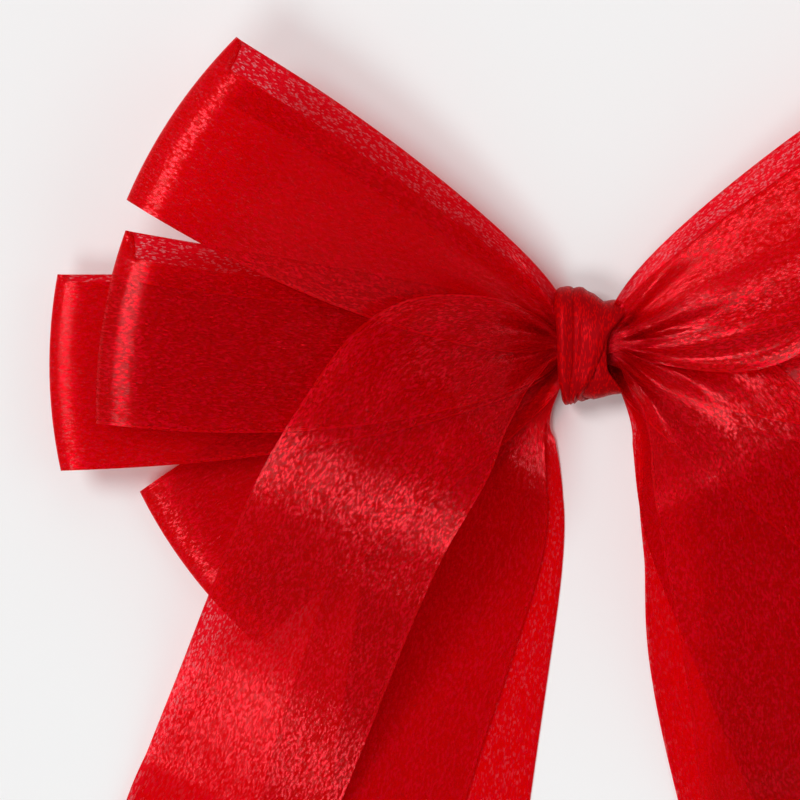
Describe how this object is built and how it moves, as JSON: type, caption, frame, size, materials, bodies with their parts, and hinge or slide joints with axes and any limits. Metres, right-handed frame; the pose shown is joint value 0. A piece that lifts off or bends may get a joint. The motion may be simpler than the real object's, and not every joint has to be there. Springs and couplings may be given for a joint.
{
  "type": "gift bow",
  "caption": "Pre-made gift bow of wide sheer red ribbon, with loops and long tails pinched in a wrapped knot and a bendable tie on its back.",
  "frame": {"origin": "on the back face of the tie, behind the middle of the knot", "axes": "+Z out of the face of the bow, +Y from the tails to the upper loops, +X to the viewer's right"},
  "size_m": [0.3432, 0.3501, 0.0529],
  "materials": {
    "ribbon": "sheer satin-weave ribbon, red, with a bright sheen on its folds",
    "knot_ribbon": "the same red ribbon, folded in several layers",
    "wire": "thin bright steel florist's wire",
    "tie": "red paper-like plastic over a soft wire core"
  },
  "bodies": {
    "knot": {"knot_band": "knot_ribbon", "binding_wire": "wire", "tie_strap": "tie"},
    "upper_left_loop": {"upper_left_loop": "ribbon"},
    "middle_left_loop": {"middle_left_loop": "ribbon"},
    "rear_left_loop": {"rear_left_loop": "ribbon"},
    "lower_left_loop": {"lower_left_loop": "ribbon"},
    "upper_right_loop": {"upper_right_loop": "ribbon"},
    "middle_right_loop": {"middle_right_loop": "ribbon"},
    "rear_right_loop": {"rear_right_loop": "ribbon"},
    "lower_right_loop": {"lower_right_loop": "ribbon"},
    "front_left_tail": {"front_left_tail": "ribbon"},
    "middle_left_tail": {"middle_left_tail": "ribbon"},
    "rear_left_tail": {"rear_left_tail": "ribbon"},
    "front_right_tail": {"front_right_tail": "ribbon"},
    "middle_right_tail": {"middle_right_tail": "ribbon"},
    "rear_right_tail": {"rear_right_tail": "ribbon"},
    "tie_left_leg": {"tie_left_leg": "tie"},
    "tie_right_leg": {"tie_right_leg": "tie"}
  },
  "joints": [
    {"name": "upper_left_loop_swing", "type": "hinge", "parent": "knot", "child": "upper_left_loop", "pos_m": [-0.004, 0.002, 0], "axis": [0, 0, 1], "range_deg": [-8, 3]},
    {"name": "middle_left_loop_swing", "type": "hinge", "parent": "knot", "child": "middle_left_loop", "pos_m": [-0.004, 0.001, 0], "axis": [0, 0, 1], "range_deg": [-3, 4]},
    {"name": "rear_left_loop_swing", "type": "hinge", "parent": "knot", "child": "rear_left_loop", "pos_m": [-0.004, 0, 0], "axis": [0, 0, 1], "range_deg": [-4, 4]},
    {"name": "lower_left_loop_swing", "type": "hinge", "parent": "knot", "child": "lower_left_loop", "pos_m": [-0.004, -0.002, 0], "axis": [0, 0, 1], "range_deg": [-3, 10]},
    {"name": "upper_right_loop_swing", "type": "hinge", "parent": "knot", "child": "upper_right_loop", "pos_m": [0.004, 0.002, 0], "axis": [0, 0, 1], "range_deg": [-3, 8]},
    {"name": "middle_right_loop_swing", "type": "hinge", "parent": "knot", "child": "middle_right_loop", "pos_m": [0.004, 0.001, 0], "axis": [0, 0, 1], "range_deg": [-4, 3]},
    {"name": "rear_right_loop_swing", "type": "hinge", "parent": "knot", "child": "rear_right_loop", "pos_m": [0.004, 0, 0], "axis": [0, 0, 1], "range_deg": [-4, 4]},
    {"name": "lower_right_loop_swing", "type": "hinge", "parent": "knot", "child": "lower_right_loop", "pos_m": [0.004, -0.002, 0], "axis": [0, 0, 1], "range_deg": [-10, 3]},
    {"name": "front_left_tail_swing", "type": "hinge", "parent": "knot", "child": "front_left_tail", "pos_m": [-0.004, 0, 0], "axis": [0, 0, 1], "range_deg": [-4, 4]},
    {"name": "middle_left_tail_swing", "type": "hinge", "parent": "knot", "child": "middle_left_tail", "pos_m": [-0.004, -0.0035, 0], "axis": [0, 0, 1], "range_deg": [-8, 3]},
    {"name": "rear_left_tail_swing", "type": "hinge", "parent": "knot", "child": "rear_left_tail", "pos_m": [-0.004, -0.0045, 0], "axis": [0, 0, 1], "range_deg": [-8, 2]},
    {"name": "front_right_tail_swing", "type": "hinge", "parent": "knot", "child": "front_right_tail", "pos_m": [0.004, -0.001, 0], "axis": [0, 0, 1], "range_deg": [-4, 4]},
    {"name": "middle_right_tail_swing", "type": "hinge", "parent": "knot", "child": "middle_right_tail", "pos_m": [0.004, -0.0035, 0], "axis": [0, 0, 1], "range_deg": [-3, 8]},
    {"name": "rear_right_tail_swing", "type": "hinge", "parent": "knot", "child": "rear_right_tail", "pos_m": [0.004, -0.0045, 0], "axis": [0, 0, 1], "range_deg": [-2, 8]},
    {"name": "tie_left_leg_bend", "type": "hinge", "parent": "knot", "child": "tie_left_leg", "pos_m": [-0.01335, 0, 0.0008], "axis": [0, -1, 0], "range_deg": [0, 90]},
    {"name": "tie_right_leg_bend", "type": "hinge", "parent": "knot", "child": "tie_right_leg", "pos_m": [0.01335, 0, 0.0008], "axis": [0, 1, 0], "range_deg": [0, 90]}
  ]
}
